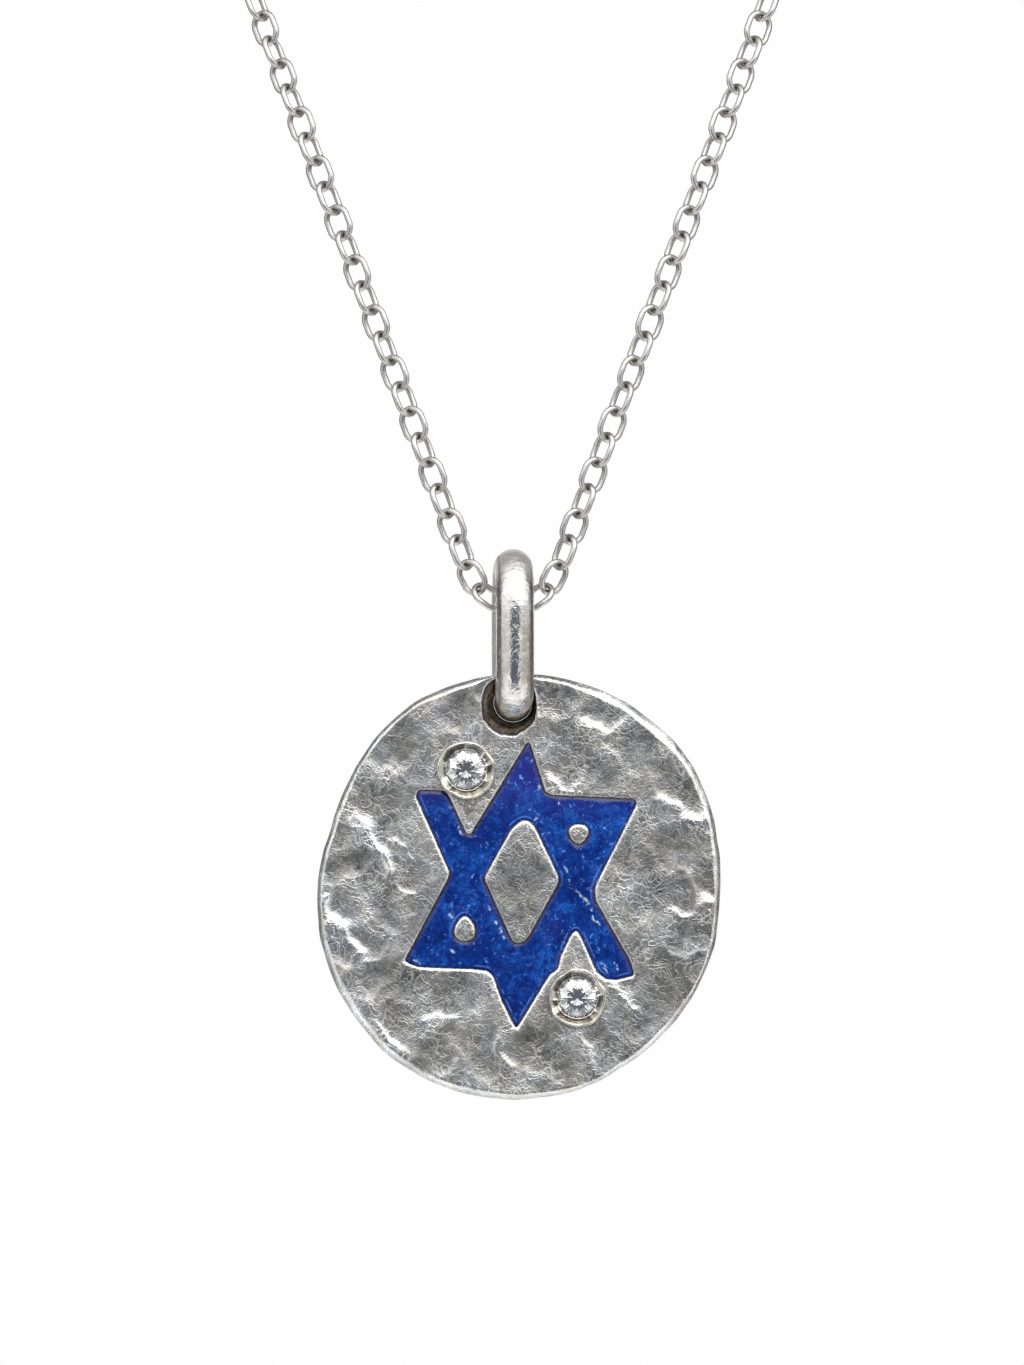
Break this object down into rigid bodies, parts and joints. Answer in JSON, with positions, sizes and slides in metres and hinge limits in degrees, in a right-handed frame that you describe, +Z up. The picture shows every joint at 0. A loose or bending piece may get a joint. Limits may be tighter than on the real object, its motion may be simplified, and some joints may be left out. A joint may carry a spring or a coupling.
{
  "type": "tag pendant",
  "caption": "Hammered silver tag with an enamelled six-pointed star and two bezel-set stones, hung by an oval bail on a fine cable chain.",
  "frame": {"origin": "at the nape of the neck, the middle of the clasp, where the chain hangs", "axes": "+Z up, the tag's front looks along -Y, +X to the right as seen from the front"},
  "size_m": [0.1154, 0.1228, 0.1259],
  "materials": {
    "hammered_silver": "hammered silver with grey patina, bright worn ridges and rim",
    "bezel_gold": "pale warm gold alloy, burnished by hand",
    "blue_enamel": "glassy transparent cobalt enamel with small specks",
    "clear_stone": "colourless, brilliant cut, polished",
    "bail_silver": "polished silver with brown tarnish at its sides",
    "chain_silver": "polished silver wire, a little dull in its joints"
  },
  "bodies": {
    "root": {"chain_front": "chain_silver", "chain_back": "chain_silver", "clasp": "chain_silver"},
    "bail": {"bail": "bail_silver"},
    "tag": {"tag": "hammered_silver", "enamel_star": "blue_enamel", "upper_stone": "clear_stone", "lower_stone": "clear_stone"}
  },
  "joints": [
    {"name": "bail_swing", "type": "hinge", "parent": "root", "child": "bail", "pos_m": [0, -0.118, -0.092], "axis": [1, 0, 0], "range_deg": [-45, 45]},
    {"name": "tag_swing", "type": "hinge", "parent": "bail", "child": "tag", "pos_m": [0, -0.118, -0.09813], "axis": [0, 1, 0], "range_deg": [-30, 30]}
  ]
}
